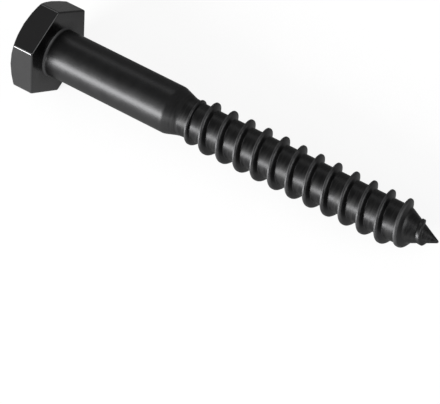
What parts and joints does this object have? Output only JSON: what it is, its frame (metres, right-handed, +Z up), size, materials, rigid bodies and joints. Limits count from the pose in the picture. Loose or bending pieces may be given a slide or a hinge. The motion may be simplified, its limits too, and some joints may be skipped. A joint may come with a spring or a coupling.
{
  "type": "lag screw",
  "caption": "Hexagon head lag screw in black steel, with a plain shank, a taper, a coarse wood thread and a gimlet point.",
  "frame": {"origin": "centre of the bearing face under the head, on the screw's axis", "axes": "+Z is up with the screw lying on one flat of its head and on its thread; +X runs from the head to the point, seen from above; the screw's own axis dips below +X by the small angle at which it rests"},
  "size_m": [0.0914, 0.0194, 0.0172],
  "materials": {
    "black_steel": "satin"
  },
  "bodies": {
    "root": {"lag_screw": "black_steel"}
  },
  "joints": []
}
